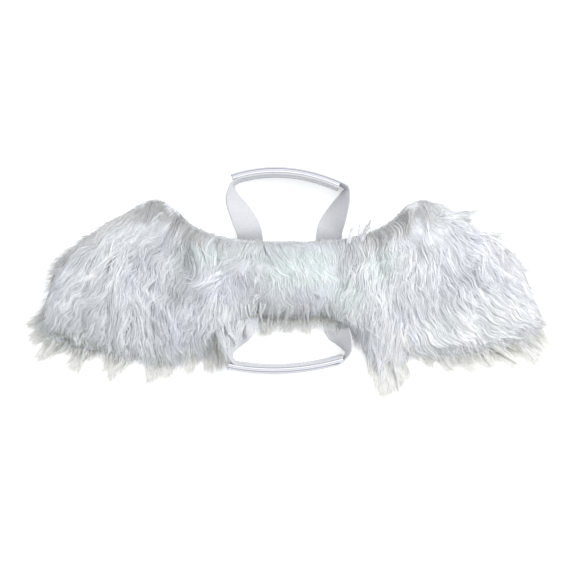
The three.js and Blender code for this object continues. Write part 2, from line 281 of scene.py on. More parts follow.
def furMaterial(name, smooth, rough):
    # fine flecks along each strand, in its colour, its gloss and its relief
    material, tree, shader = newMaterial(name, rough)
    place = {"Vector": addNode(tree, "TexCoord").outputs["Object"]}
    flecks = addNode(tree, "TexNoise", place, Scale=700, Detail=3).outputs["Fac"]
    gloss = addNode(tree, "MapRange", {"Value": flecks}, **{"To Min": smooth, "To Max": rough})
    tree.links.new(gloss.outputs["Result"], shader.inputs["Roughness"])
    addTint(tree, addRamp(tree, flecks, (244, 244, 245), (255, 255, 255)), shader)
    addBump(tree, flecks, shader, strength=0.15, distance=0.0002)
    return material


def wovenMaterial(name, dark, light, warp, weft, nap, depth):
    # threads along and across under a soft nap, mapped in millimetres
    material, tree, shader = newMaterial(name, roughness=0.8, sheen=0.2)
    place = {"Vector": addNode(tree, "UVMap", settings={"uv_map": "weave"}).outputs["UV"]}
    threads = {}
    for k, (way, scale, bent) in enumerate((("X", warp, 0.6), ("Y", weft, 0.8))):
        bands = {"bands_direction": way}
        wave = addNode(tree, "TexWave", place, bands, Scale=scale, Distortion=bent, Detail=1)
        threads[k] = wave.outputs["Fac"]
    fuzz = addNode(tree, "TexNoise", place, Scale=nap, Detail=6, Roughness=0.6).outputs["Fac"]
    cross = addNode(tree, "Math", threads, {"operation": "MULTIPLY"}).outputs["Value"]
    both = addNode(tree, "Math", {0: cross, 1: fuzz}, {"operation": "ADD"}).outputs["Value"]
    addTint(tree, addRamp(tree, fuzz, dark, light), shader)
    addBump(tree, both, shader, strength=depth, distance=0.0004)
    return material


weaves = {
    "webbing": dict(dark=(196, 197, 201), light=(214, 215, 220), warp=0.5, weft=0.34, nap=0.9, depth=0.5),
    "closureTape": dict(dark=(224, 224, 231), light=(238, 238, 244), warp=0.9, weft=0.9, nap=1.6, depth=0.12),
    "thread": dict(dark=(204, 206, 214), light=(222, 224, 232), warp=1.2, weft=1.2, nap=2, depth=0.3),
}
backing = backingMaterial()
furCoat = furMaterial("furCoat", smooth=0.36, rough=0.54)
furFluff = furMaterial("furFluff", smooth=0.6, rough=0.8)
webbing, closureTape, thread = (wovenMaterial(name, **look) for name, look in weaves.items())


# stuffed panels, crowned above and flat where they lie

def inflate(ob, sewn, under):
    # cloth held along the rim, the seams and the strap tabs, blown up softly and applied
    rest = meshPoints(ob.data)
    ob.vertex_groups.new(name="sewn").add(sewn.tolist(), 1, "ADD")
    cloth = ob.modifiers.new("cloth", "CLOTH")
    cloth.settings.use_pressure = True
    cloth.settings.uniform_pressure_force = pad.pressure
    cloth.settings.vertex_group_mass = "sewn"
    cloth.settings.shrink_min = -pad.slack
    cloth.settings.effector_weights.gravity = 0
    cloth.point_cache.frame_start, cloth.point_cache.frame_end = 1, pad.frames
    for k in range(1, pad.frames + 1):
        scene.frame_set(k)
    blown = ob.evaluated_get(bpy.context.evaluated_depsgraph_get())
    moved = (meshPoints(blown.data) - rest) / mm
    ob.modifiers.remove(cloth)
    scene.frame_set(1)
    moved *= pad.swell / max(np.percentile(moved[:under, 2], pad.most), 1e-6)
    far = np.linalg.norm(moved, axis=1, keepdims=True)
    moved *= np.minimum(1, pad.cap / np.maximum(far, 1e-6))
    co = rest / mm + moved
    co[:, 2] = np.maximum(co[:, 2], pad.lowestZ)
    ob.data.vertices.foreach_set("co", (co * mm).astype(np.float32).ravel())
    ob.data.update()
    print(ob.name, "swollen by", moved[:under, 2].max().round(2), "mm at most")


def panel(node, fromX, toX, columns):
    share = np.linspace(0, 1, columns + 1)
    if node == "left_wing":
        share = 1 - np.cos(share * math.pi / 2)  # finer towards the tip
    if node == "right_wing":
        share = np.sin(share * math.pi / 2)
    x, rows = fromX + (toX - fromX) * share, pad.rows
    low, high = (np.interp(np.abs(x), line[:, 0], line[:, 1]) for line in (rimLower, rimUpper))
    across = (1 + np.sin(np.linspace(-0.5, 0.5, rows + 1) * math.pi)) / 2
    gx = np.repeat(x[:, None], rows + 1, axis=1)
    gy = low[:, None] + (high - low)[:, None] * across
    depth = np.maximum(0, sample(depthField, np.stack([gx, gy], -1)))
    depth[:, 0] = depth[:, -1] = 0
    pucker = pad.pucker * np.sin(gx * pad.puckerRate) * np.exp(-depth / pad.puckerDepth)
    top = pad.edgeZ + (pad.crown - pad.swell) * quarterRound(depth, pad.round) + pucker
    bottom = (pad.edgeZ - pad.lip) * (1 - quarterRound(depth, pad.backRound))
    sewn = np.zeros((2, columns + 1, rows + 1), bool)
    sewn[:, [0, -1], :] = True
    sewn[:, :, [0, -1]] = True
    for tabX, tabEnd in pad.tabs:
        pressed = np.abs(gx - tabX) < pad.tabHalf
        pressed &= gy * np.sign(tabEnd) > abs(tabEnd) - pad.tabPast
        bottom = np.where(pressed, np.maximum(bottom, pad.tabDepth), bottom)
        sewn[1] |= pressed
    stride = rows + 1
    under = len(x) * stride
    face = gridQuads(columns + 1, stride)
    k = np.arange(columns)
    lowSide = np.stack([(k + 1) * stride, k * stride, k * stride + under, (k + 1) * stride + under], -1)
    highSide = lowSide[:, ::-1] + rows
    k = np.arange(rows)
    startSide = np.stack([k, k + 1, k + 1 + under, k + under], -1)
    endSide = startSide[:, ::-1] + columns * stride
    co = [np.stack([gx, gy, z], -1).reshape(-1, 3) for z in (top, bottom)]
    quads = [face, face[:, ::-1] + under, lowSide, highSide, startSide, endSide]
    ob = meshObject(node + "_pad", np.vstack(co), np.vstack(quads), backing)
    inflate(ob, np.flatnonzero(sewn), under)
    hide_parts(node)


panel("left_wing", -pad.endX, -pad.seamX - pad.gap / 2, pad.wingColumns)
panel("bridge", -pad.seamX + pad.gap / 2, pad.seamX - pad.gap / 2, pad.bridgeColumns)
panel("right_wing", pad.seamX + pad.gap / 2, pad.endX, pad.wingColumns)
print("panels done")


# straps: flat at the bridge, rolled up on edge, then round to their closure

strap = Look(
    width=19.8, thick=1.46, cadThick=1.5, steps=130, floor=0, edge=0.84, rollScale=6, lift=0.03,
    innerSpan=(0.06, 1), outerSpan=(0.96, 0),  # the stretch of the closure that each end covers
    rootShade=0.3, rootFade=(31, 42), rootBlue=0.03,  # painted shade: greyer next to the bridge, where the fur overhangs the strap
)
tape = Look(
    width=19.3, thick=1.28, cadThick=1.0, steps=60, floor=0.45, edge=0.88,
    span=(0.004, 0.996), hookTone=(0.83, 0.83, 0.87),
)
# from the edge of a band to its middle: how far in the rows are, and how thick it is there
selvedge = Look(inset=(0, 0.2, 0.9, 1.7), lift=(1, 0.84, 0.9), faceAt=0.45, middle=0.92)
closures = Look(
    neck=Look(start=(-43.5, 76.8), bow=(-3.8, 90), end=(38.5, 71.4), outward=1),
    chest=Look(start=(-46.5, -65), bow=(-3.8, -73.6), end=(41.5, -60.8), outward=-1),
)
tapeOffset = (tape.cadThick + pad.gap) / 2
strapOffset = tapeOffset + tape.cadThick / 2 + pad.gap + strap.cadThick / 2
# the leg of each half, charted: x, y, roll in degrees; a left half ends inside its closure
strapLegs = {
    "neck_strap_left": [
        (-30, 15, 0), (-30, 30, 0), (-31.5, 39, 8), (-36.5, 50, 30), (-42, 61, 53), (-43.5, 69, 78),
        (-43, 73, 88),
    ],
    "neck_strap_right": [
        (31, 15, 0), (31, 30, 0), (32, 39, 8), (36.5, 50, 36), (41.5, 61, 61), (43.8, 68, 78),
        (44.2, 70.5, 88),
    ],
    "chest_strap_left": [
        (-36, -15, 0), (-36, -30, 0), (-36.2, -35, 5), (-37.5, -40.5, 20), (-40.8, -47, 50),
        (-43.8, -53.5, 74), (-44.5, -59.5, 88),
    ],
    "chest_strap_right": [
        (36, -15, 0), (36, -30, 0), (36.3, -34.5, 5), (38, -40, 20), (41.8, -46.5, 50),
        (44.5, -52.5, 70), (45, -57, 86),
    ],
}


def closurePoint(closure, offset, share):
    # a point on the closure and the way outwards there
    start, bow, end = (np.array(closures[closure][k], float) for k in ("start", "bow", "end"))
    heading = (1 - share) * (bow - start) + share * (end - bow)
    heading /= np.linalg.norm(heading)
    outwards = np.array([-heading[1], heading[0]]) * closures[closure].outward
    return bowed(start, bow, end, share) + outwards * offset, outwards


def closureStations(closure, offset, first, last, count=13):
    return [(*closurePoint(closure, offset, share)[0], 90) for share in np.linspace(first, last, count)]


def band(name, stations, look, out, material, tone=(1, 1, 1)):
    # rounded edges with a raised selvedge on both sides
    knots = np.array(stations, float) / (1, 1, strap.rollScale)
    steps = look.steps
    route = evenPoints(splinePoints(knots), steps + 1)
    heading = np.gradient(route[:, :2], axis=0)
    heading /= np.linalg.norm(heading, axis=1)[:, None]
    roll = np.radians(np.clip(route[:, 2] * strap.rollScale, 0, 90))[:, None]
    away = np.column_stack([-heading[:, 1], heading[:, 0], np.zeros(steps + 1)]) * out
    up = np.array([0, 0, 1.0])
    across = (away * np.cos(roll) + up * np.sin(roll)) * out
    face = up * np.cos(roll) - away * np.sin(roll)
    w, t, edge = look.width / 2, look.thick / 2, look.edge
    rest = look.floor + strap.lift + w * np.sin(roll) + strap.cadThick / 2 * np.cos(roll)
    base = np.hstack([route[:, :2], rest])
    half = np.append(w - np.array(selvedge.inset), w * selvedge.faceAt)
    halfLift = np.array([edge, atLeast(0.5, edge), *selvedge.lift])
    side = np.concatenate([-half, [0], half[::-1]])
    lift = np.concatenate([halfLift, [selvedge.middle], halfLift[::-1]]) * t
    ring = np.vstack([np.column_stack([side, lift]), np.column_stack([side, -lift])[::-1]])
    n = len(ring)
    co = base[:, None] + across[:, None] * ring[None, :, :1] + face[:, None] * ring[None, :, 1:]
    quads = gridQuads(steps + 1, n, closed=True)
    i, j = np.divmod(quads[:, 0], n)
    k = np.arange(len(side) - 1)
    cap = np.stack([k, k + 1, n - k - 2, n - k - 1], -1)
    ob = meshObject(name, co.reshape(-1, 3), np.vstack([quads, cap, cap[:, ::-1] + steps * n]), material)
    around, down = runLength(np.vstack([ring, ring[:1]])), runLength(base)
    uv = np.zeros((len(quads) + 2 * len(cap), 4, 2))
    uv[:len(quads), :, 0] = np.stack([around[j], around[j], around[j + 1], around[j + 1]], -1)
    uv[:len(quads), :, 1] = np.stack([down[i], down[i + 1], down[i + 1], down[i]], -1)
    setUv(ob, "weave", uv)
    # painted shade on the strap next to the bridge, under the overhanging fur
    fromBridge = np.repeat(np.abs(base[:, 1]), n)
    near, far = strap.rootFade
    paintedGrey = 1 - strap.rootShade * ease(-fromBridge, -far, -near)
    setTint(ob, np.stack([paintedGrey, paintedGrey, atLeast(strap.rootBlue, paintedGrey)], -1) * tone)
    return ob


for node, leg in strapLegs.items():
    closure, inner = node.split("_")[0], node.endswith("left")
    offset, span = (-strapOffset, strap.innerSpan) if inner else (strapOffset, strap.outerSpan)
    out = closures[closure].outward * (1 if inner else -1)
    ob = band(node + "_band", leg + closureStations(closure, offset, *span), strap, out, webbing)
    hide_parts(node)
for closure in closures:
    for layer, offset, tone in (("loop", -tapeOffset, (1, 1, 1)), ("hook", tapeOffset, tape.hookTone)):
        node = closure + "_" + layer + "_tape"
        stations = closureStations(closure, offset, *tape.span)
        ob = band(node + "_band", stations, tape, closures[closure].outward, closureTape, tone)
        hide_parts(node)


# rows of stitches that hold the tapes, on the outer and inner face of each closure

stitch = Look(
    length=2.3, pitch=3.2, radius=0.24, inset=2.4, span=(0.05, 0.95), sides=6,
    beads=((0, 0.35), (0.2, 0.95), (0.5, 1), (0.8, 0.95), (1, 0.35)),  # way along a stitch, size there
    seat=0.46, proud=0.16, dive=0.24,  # the ends go down into the cloth
    patch=(0.5, 0.6),  # its stretch of the weave
)


def stitchRows(closure, name, sign):
    offset = sign * (strapOffset + strap.thick * stitch.seat)
    places = [closurePoint(closure, offset, share) for share in np.linspace(*stitch.span, 400)]
    line, out = (np.array(column) for column in zip(*places))
    run, sides = runLength(line), stitch.sides
    turn = np.linspace(0, 2 * math.pi, sides, endpoint=False)
    tube = np.roll(gridQuads(len(stitch.beads), sides, closed=True)[:, ::-1], 1, axis=1)
    rings, quads = [], []
    for height in (-1, 1):
        z = strap.width / 2 + height * (tape.width / 2 - stitch.inset)
        for start in np.arange(1, run[-1] - stitch.length, stitch.pitch):
            quads.extend(len(rings) * sides + tube)
            for share, size in stitch.beads:
                at = start + share * stitch.length
                p, o = (np.array([np.interp(at, run, a[:, c]) for c in (0, 1)]) for a in (line, out))
                proud = stitch.proud - stitch.dive * (abs(share - 0.5) * 2) ** 2
                r = stitch.radius * size
                ring = [(*(p + o * sign * (proud + r * math.cos(a))), z + r * math.sin(a)) for a in turn]
                rings.append(ring)
    ob = meshObject(name, np.array(rings).reshape(-1, 3), quads, thread)
    u, v = stitch.patch
    setUv(ob, "weave", np.tile([(0, 0), (u, 0), (u, v), (0, v)], (len(quads), 1)))
    setTint(ob, np.ones((len(rings) * sides, 3)))


for closure in closures:
    for face, sign in (("outer", 1), ("inner", -1)):
        stitchRows(closure, closure + "_stitch_" + face, sign)
print("straps done")


# fur: the way it is brushed, charted: x and y in millimetres, heading in degrees

combGuides = [
    (-101, 55, -120), (-126, 37, -135), (-160, 27, -150), (-173, 6, -140), (-180, -20, -120),
    (-190, -35, -150), (-147, 6, -130), (-152, -15, -125), (-160, -40, -110), (-126, -17, -105),
    (-126, -43, -97), (-101, 19, -118), (-96, -15, -100), (-96, -48, -86), (-67, -2, -135),
    (-72, -25, -100), (-57, -43, -82), (-47, 11, -128), (-67, 29, -112), (-36, -17, -92), (-26, 19, -94),
    (-16, 25, -84), (-6, 14, -62), (10, 6, -66), (10, -12, -75), (-11, -27, -105), (33, 9, -66),
    (43, 23, -72), (50, 15, -80), (46, -9, -104), (20, -27, -85), (66, 29, -95), (61, 9, -97),
    (56, -20, -78), (66, -43, -86), (82, -7, -90), (84, -48, -92), (97, 45, -68), (102, 6, -80),
    (123, 50, -18), (130, 29, -48), (128, 9, -62), (123, -20, -76), (148, 32, -45), (161, 11, -50),
    (148, -15, -58), (138, -38, -48), (174, -20, -45), (169, -43, -24), (189, -38, -34), (112, -48, -45),
]
comb = Look(
    soft=36, fall=-1.7,  # how the pull of a guide falls off
    fanX=52, fanY=62, fanWide=75,  # the hair fans out from the top of each wing
    wave=0.33, waveMore=0.26, waveHills=(30, 7), waveLong=20, shift=5, shiftHills=(22, 8),
    bends=((0.2, 22, 15), (0.14, 10, 16), (0.1, 4, 17)),  # angle, size, seed
    rootTurn=0.3,  # share of a strand's own turn that it has from the start
)


def lie(x, y):
    # way run from the top of each wing, and the way round it
    outer = np.maximum(np.abs(x) - comb.fanX, 0)
    run = np.hypot(outer, y - comb.fanY)
    turned = np.arctan2(outer, comb.fanY - y)
    return run, np.clip(x, -comb.fanX, comb.fanX) + np.sign(x) * turned * comb.fanWide


def brushedHeading():
    sumX, sumY = np.zeros(mapX.shape), np.zeros(mapX.shape)
    for x, y, heading in combGuides:
        weight = ((mapX - x) ** 2 + (mapY - y) ** 2 + comb.soft) ** comb.fall
        sumX += weight * math.cos(math.radians(heading))
        sumY += weight * math.sin(math.radians(heading))
    height = comb.wave + comb.waveMore * hills(*comb.waveHills)
    phase = 2 * math.pi * lie(mapX, mapY)[0] / comb.waveLong + comb.shift * hills(*comb.shiftHills)
    heading = np.arctan2(sumY, sumX) + height * np.sin(phase)
    for angle, size, seed in comb.bends:
        heading = heading + angle * hills(size, seed)
    return heading


headingField = brushedHeading()
headX, headY = np.cos(headingField), np.sin(headingField)
steps = 9  # points along a strand
along = np.linspace(0, 1, steps)


def headingAt(place):
    return np.arctan2(sample(headY, place), sample(headX, place))


def towards(angle):
    return np.stack([np.cos(angle), np.sin(angle)], -1)


def flow(root, length, turn):
    # follows the brushed direction from each root
    path = [root]
    for share in along[1:]:
        angle = headingAt(path[-1]) + turn * atLeast(comb.rootTurn, share)
        path.append(path[-1] + (length / (steps - 1))[:, None] * towards(angle))
    return np.stack(path, 1)


def risen(share):
    # a strand stands up over that share of its length
    return 1 - (1 - np.minimum(along / share, 1)) ** 2


def inSpace(xy, z):
    return np.concatenate([xy, z[..., None]], -1)


sowing = Look(x=(-200.0, 201), y=(-60.0, 66), rowStep=0.87, jitter=0.4)


def scatter(spacing, least, seed):
    # roughly even points on the panels, at least that far inside the rim
    local = seeded(seed)
    px, py = np.meshgrid(np.arange(*sowing.x, spacing), np.arange(*sowing.y, spacing * sowing.rowStep))
    px[1::2] += spacing / 2
    p = np.stack([px.ravel(), py.ravel()], -1)
    p += local.uniform(-sowing.jitter, sowing.jitter, p.shape) * spacing
    return p[sample(depthField, p) > least]


def nearest(points, centres):
    tree = KDTree(len(centres))
    for k, (x, y) in enumerate(centres):
        tree.insert((x, y, 0), k)
    tree.balance()
    return np.array([tree.find((x, y, 0))[1] for x, y in points])


strand = Look(rootWidth=0.6, widen=5, tipLoss=0.85, tipPower=2.4, lowestZ=0.15, vary=(0.7, 1.25))


def unit(v):
    return v / (np.linalg.norm(v, axis=-1, keepdims=True) + 1e-9)


def ribbons(name, path, width, roll, tint, material, every=1):
    # path and tint are strands by steps by 3; every second step is enough where little shows
    path, tint, share = path[:, ::every], tint[:, ::every], along[::every]
    n, points = path.shape[:2]
    tangent = unit(np.gradient(path, axis=1))
    side = unit(np.cross(tangent, (0, 0, 1.0)))
    over = np.cross(side, tangent)
    out = side * np.cos(roll)[:, None, None] + over * np.sin(roll)[:, None, None]
    taper = atLeast(strand.rootWidth, np.minimum(1, share * strand.widen))
    taper = taper * (1 - strand.tipLoss * share ** strand.tipPower)
    reach = out * (width[:, None] * taper / 2)[..., None]
    co = np.stack([path - reach, path + reach], 2)
    co[..., 2] = np.maximum(co[..., 2], strand.lowestZ)
    s, k = np.meshgrid(np.arange(n), np.arange(points - 1), indexing="ij")
    a = (s * points + k).ravel() * 2
    ob = meshObject(name, co.reshape(-1, 3), np.stack([a, a + 1, a + 3, a + 2], -1), material)
    setTint(ob, np.repeat(tint.reshape(-1, 3), 2, axis=0))
    # every strand has a small place of its own on the map
    columns = math.ceil(math.sqrt(n * 4))
    row, column = np.divmod(np.arange(n)[:, None, None], columns)
    climb = (np.arange(points - 1)[:, None] + (0, 0, 1, 1)) / (points - 1)
    uv = np.zeros((n, points - 1, 4, 2))
    uv[..., 0] = (column + (0.1, 0.9, 0.9, 0.1)) / columns
    uv[..., 1] = (row + 0.05 + 0.9 * climb) / math.ceil(n / columns)
    setUv(ob, "OFBake", uv)
    print(name, n, "strands")


normal, uniform = np.random.Generator.normal, np.random.Generator.uniform


def drawn(chances, source, count, hairs=0):
    # random values by name, in the order of the table: between two limits, or normal with middle and spread;
    # with hairs, columns of them for the hairs of each wisp
    many = np.repeat(np.arange(count), max(hairs, 1))
    sizes = {"hair": len(many), "point": (len(many), steps, 2)}
    own = Look()
    for name, row in chances.items():
        kind, a, b, *per = row if row[0] is normal else (uniform, *row)
        values = kind(source, a, b, sizes[per[0]]) if per else kind(source, a, b, count)[many]
        own[name] = values[:, None] if hairs and values.ndim == 1 else values
    return own


def hairEnds(roll):
    return {"width": (*strand.vary, "hair"), "roll": (-roll, roll, "hair")}


def strandSet(layer, own, xy, z, tint):
    # what ribbons takes: paths, widths, rolls and tints
    return inSpace(xy, z), layer.width * own.width.ravel(), own.roll.ravel(), tint


def joined(sets):
    return [np.concatenate(column) for column in zip(*sets)]


def bySide(x):
    seam = pad.seamX
    return {"left_wing": x < -seam, "bridge": np.abs(x) <= seam, "right_wing": x > seam}.items()


tints = {
    "cool": (0.75, 0.775, 0.805), "lavender": (0.74, 0.76, 0.815), "mint": (0.725, 0.795, 0.785),
    "cream": (0.81, 0.805, 0.765), "tip": (0.94, 0.935, 0.915),
}
cool, lavender, mint, cream, paleTip = (np.array(rgb) for rgb in tints.values())
shading = Look(
    violetHills=(34, 5), violet=(-0.1, 0.8), driftGain=1.4, lightest=0.97,
    whiterX=(-40, 160), whiter=(0.03, 0.028, 0.024),  # painted light: the right side, towards the key light, is the whiter
)
# painted light and shade: lighter and darker patches on the coat, charted: x, y, size, gain
paintedLightPatches = [
    (-76, 10, 10, -0.19), (-80, -13, 11, -0.22), (-78, 23, 9, -0.14), (-96, 24, 8, -0.09),
    (-40, 0, 12, -0.06), (-62, 30, 12, -0.04), (-136, -38, 10, -0.06), (-168, -36, 12, -0.04),
    (-92, -46, 12, -0.03), (-52, -44, 9, -0.03), (-90, 48, 12, -0.06), (-108, 58, 9, -0.03),
    (-170, 12, 14, -0.05), (-182, -16, 10, -0.06), (4, -24, 14, -0.16), (30, -28, 12, -0.12),
    (-22, -20, 10, -0.08), (46, 22, 9, -0.05), (68, 38, 12, -0.1), (86, 48, 10, -0.09),
    (134, 2, 14, -0.07), (118, -18, 12, -0.06), (150, -36, 7, -0.09), (52, -40, 8, -0.07),
    (104, 52, 10, -0.05), (-135, 14, 13, 0.08), (-152, 4, 10, 0.07), (-112, -6, 9, 0.05),
    (-58, -2, 9, 0.09), (-50, -26, 8, 0.08), (-192, -42, 12, 0.09), (28, -3, 8, 0.08),
    (45, -15, 8, 0.08), (100, 6, 9, 0.07), (75, -14, 7, 0.06), (152, 28, 14, 0.03), (140, -36, 9, 0.12),
    (82, -54, 12, 0.18), (72, -46, 12, 0.17), (76, -72, 14, 0.05), (-92, 53, 11, -0.12),
    (-78, 42, 13, -0.05), (-112, 42, 14, -0.05), (155, -10, 22, -0.02), (108, 2, 30, -0.015),
    (-168, -20, 6, 0.08), (-150, -28, 14, -0.05), (-180, -24, 8, -0.07), (-158, 2, 8, 0.05),
    (172, -26, 15, 0.06), (112, -42, 10, 0.06), (10, 10, 12, 0.04), (-152, -8, 26, 0.03),
    (-112, -8, 22, 0.03), (166, 0, 28, -0.02), (100, 41, 11, -0.07), (-101, 48, 14, -0.04),
]
mintDrifts = [
    (-12, 6, 13, 0.7), (8, 8, 14, 0.9), (24, 8, 14, 1), (44, -14, 12, 0.8), (70, 12, 11, 0.9),
    (-76, 20, 13, 0.6), (-54, 14, 10, 0.5), (116, -42, 10, 0.4), (-30, 20, 12, 0.3),
]


def drifted(rows):
    return sum(gain * np.exp(-((mapX - x) ** 2 + (mapY - y) ** 2) / size ** 2) for x, y, size, gain in rows)


paintedLight = 1 + shading.driftGain * drifted(paintedLightPatches)
mintDrift = np.clip(drifted(mintDrifts), 0, 1)
violetField = hills(*shading.violetHills)


def strandTint(path, shade, warm, rootShade=0.86, rootLong=0.55):
    # cool white with lavender and mint drifts, lighter on the right as painted light, times the painted light
    # and shade patches, with painted shade towards the root; shade and warm are columns
    violet = ease(sample(violetField, path), *shading.violet)[..., None]
    green = sample(mintDrift, path)[..., None]
    whiter = ease(path[..., 0], *shading.whiterX)[..., None]
    warm = np.asarray(warm)[..., None]
    rise = np.minimum(1, along / rootLong)[:, None]
    c = cool * (1 - violet) + lavender * violet
    c = (c * (1 - green) + mint * green) * (1 + whiter * shading.whiter)
    c = (c * (1 - warm) + cream * warm) * (rise + (1 - rise) * rootShade)
    return np.clip(c * (shade * sample(paintedLight, path))[..., None], 0, shading.lightest)


def paled(tint, share):
    # thin ends painted paler, for the light that passes through them
    return tint + (paleTip - tint) * share[..., None]


# slopes that face away from the light, from these heights up, are greyer
slope = Look(leftX=-60, rightX=(54, 103), coatY=(-30, 26), rimY=(-40, 20))


def onSlope(x, y, leftY, rightY):
    near, far = slope.rightX
    return (x < slope.leftX) & (y > leftY) | (x > near) & (x < far) & (y > rightY)


# the coat: tufts, in them locks, in them strands

tuft = Look(
    step=20, margin=-6, stretch=1.6, reach=37.2, dome=(2, 12),
    chances=Look(
        turn=(normal, 0, 0.3), lift=(-0.8, 1), long=(0.85, 1.2), pull=(0.2, 0.75), shade=(normal, 1, 0.062),
    ),
)
lock = Look(
    step=5.0, margin=0, ridge=3.0, lit=0.28, otherHairs=0.06, gather=0.25, pullEnds=(0.04, 0.9),
    rim=(-4, 8), rimPull=0.45, tuftLift=0.9, domeLift=2.0, shingle=1.8, rightX=(30, 100), flat=0.25,
    chances=Look(
        turn=(normal, 0, 0.14), long=(0.75, 1.15), pull=(normal, 0, 0.18), lift=(normal, 0, 0.45),
        dome=(0.4, 2.3), shade=(normal, 1, 0.025), lit=(0, 1), hairs=(0.3, 0.7),
    ),
)
# smooth at the peak of each wing, short and flat on the bridge
peak = Look(at=(106, 56), size=(14, 44), ragged=9, hills=(16, 61), turn=0.35, lift=0.12, loose=0.45)
bridge = Look(x=(38, 60), short=0.48, loose=0.25, flat=0.8)
hair = Look(
    step=0.82, margin=-1.2, length=31, under=0.4, stray=0.012, lockTurn=0.8,
    underWidth=0.58, overWidth=0.31, overhang=1, shortest=1.5, sunk=0.7, rise=0.35,
    depth=1.9, depthHills=((0.6, 14, 21), (0.5, 7, 33)), lowLevel=0.15, liftEnds=(0.5, 7.5),
    brightLift=0.5, brightShade=1.25, lean=0.7, warmest=0.7,
    chances=Look(
        level=(0, 1), stray=(0, 1), bright=(0, 1), turn=(normal, 0, 0.07), strayTurn=(normal, 0, 0.7),
        long=(0.82, 1.08), hang=(0.35, 1.1), hangMore=(0, 2), frizz=(normal, 0, 0.15, "point"),
        strayLift=(0.5, 3), settle=(0.25, 0.6), width=(0.75, 1.2), underRoll=(-0.2, 0.2),
        overRoll=(-0.32, 0.32), shade=(normal, 1, 0.02), gap=(0, 1), warm=(normal, 0.03, 0.05),
    ),
)
edge = Look(rightX=103, rightY=-8, right=0.55, wide=9, shade=0.2, warm=0.5)  # painted shade on the rim where it rounds away from the light
# along the lower rim, charted: x, how far the coat hangs over it, how dark the painted shadow is there below
lowerRim = [
    (-205, 2, 0.6), (-184, 0, 1.1), (-160, -1, 1.2), (-138, 1, 1), (-127, 8, 0.4), (-104, 11, 0.3),
    (-88, 12, 0.6), (-66, 12, 0.7), (-52, 8, 0.6), (-40, 2, 0.9), (-10, 0, 1.5), (30, 0, 1.5),
    (42, 2, 0.8), (55, 10, 0.5), (66, 22, 0.2), (86, 20, 0.2), (96, 8, 0.8), (108, 6, 0.7),
    (124, 6, 0.3), (146, 4, 0.3), (158, 1, 0.8), (176, 3, 0.6), (205, 4, 0.4),
]
shadow = Look(
    hangY=-10, inset=0.5, hang=0.75, wide=5.5, y=(18, 27), tint=(0.21, 0.2, 0.25),
    gaps=0.3, gapShade=0.6, locks=0.75, lit=-0.3,  # painted shadow; single locks cross it, painted lit
)
rimHang, rimDark = (np.interp(mapX, *np.array(lowerRim).T[[0, k]]) for k in (1, 2))
hang = np.where(mapY < shadow.hangY, rimHang, hair.overhang)
paintedShadowBand = np.exp(-((depthField + shadow.inset + shadow.hang * rimHang) / shadow.wide) ** 2)
paintedShadowBand = paintedShadowBand * ease(-mapY, *shadow.y) * rimDark


def tuftPlace(xy):
    run, way = lie(*xy.T)
    return np.stack([run / tuft.stretch, way], -1)


tufts = scatter(tuft.step, tuft.margin, 3)
locks = scatter(lock.step, lock.margin, 4)
roots = scatter(hair.step, hair.margin, 5)
tuftOf = nearest(tuftPlace(locks), tuftPlace(tufts))
lockOf = nearest(roots, locks)

own = drawn(tuft.chances, rng, len(tufts))
tuftPath = flow(tufts, np.full(len(tufts), tuft.reach), own.turn)[tuftOf]
ofTuft = Look({name: values[tuftOf] for name, values in own.items()})

own = drawn(lock.chances, rng, len(locks))
onBridge = 1 - ease(np.abs(locks[:, 0]), *bridge.x)
flatter = 1 - bridge.flat * onBridge
fromTuft = tuftPlace(locks) - tuftPlace(tufts)[tuftOf]
dome = 1 - ease(np.linalg.norm(fromTuft, axis=1), *tuft.dome)
shingle = np.clip(fromTuft[:, 0] / tuft.step + 0.5, 0, 1)  # the lower end of a tuft lies over the next
fromPeak = np.hypot(np.abs(locks[:, 0]) - peak.at[0], locks[:, 1] - peak.at[1])
combed = ease(fromPeak + peak.ragged * sample(hills(*peak.hills), locks), *peak.size)
lockTurn = (ofTuft.turn + own.turn) * atLeast(peak.turn, combed)
lockLong = hair.length * ofTuft.long * own.long * (1 - bridge.short * onBridge)
lockPath = flow(locks, lockLong, lockTurn)
nearRim = 1 - ease(sample(depthField, lockPath[:, -1]), *lock.rim)
lockPull = ofTuft.pull + own.pull + lock.rimPull * nearRim
lockPull = np.clip(lockPull - bridge.loose * onBridge - peak.loose * (1 - combed), *lock.pullEnds)
raised = flatter * atLeast(peak.lift, combed) * (1 - lock.flat * ease(locks[:, 0], *lock.rightX))
lockLift = lock.tuftLift * ofTuft.lift + lock.domeLift * dome + lock.shingle * shingle + own.lift
lockLift, lockDome = lockLift * raised, own.dome * raised
lockShade = ofTuft.shade * own.shade
lockBright = np.where(own.lit < lock.lit, own.hairs, lock.otherHairs)
lockBright = lockBright * atLeast(peak.turn, combed) * flatter
lockPath += (tuftPath - lockPath) * (lock.gather * along ** 1.6)[:, None]

own = drawn(hair.chances, rng, len(roots))
level = own.level
under = level < hair.under
stray = own.stray < hair.stray  # loose hairs, out of the lie of the rest
bright = ~under & (own.bright < lockBright[lockOf])  # hairs that catch the light
turn = hair.lockTurn * lockTurn[lockOf] + own.turn + np.where(stray, own.strayTurn, 0)
path = flow(roots, lockLong[lockOf] * own.long, turn)
pull = np.where(stray, 0, lockPull[lockOf])[:, None] * along ** 1.4
path += (lockPath[lockOf] - path) * pull[..., None]

# hairs that hang further over the rim are cut short, the fringe below is made separately
reachOver = sample(hang, path[:, -1]) * own.hang + own.hangMore
over = sample(depthField, path) < -reachOver[:, None]
kept = np.where(over.any(1), np.maximum(over.argmax(1), hair.shortest), steps - 1)
cut = along * kept[:, None]
low = np.minimum(cut.astype(int), steps - 2)
rows = np.arange(len(roots))[:, None]
path = path[rows, low] + (path[rows, low + 1] - path[rows, low]) * (cut - low)[..., None]
path += own.frizz * along[:, None]

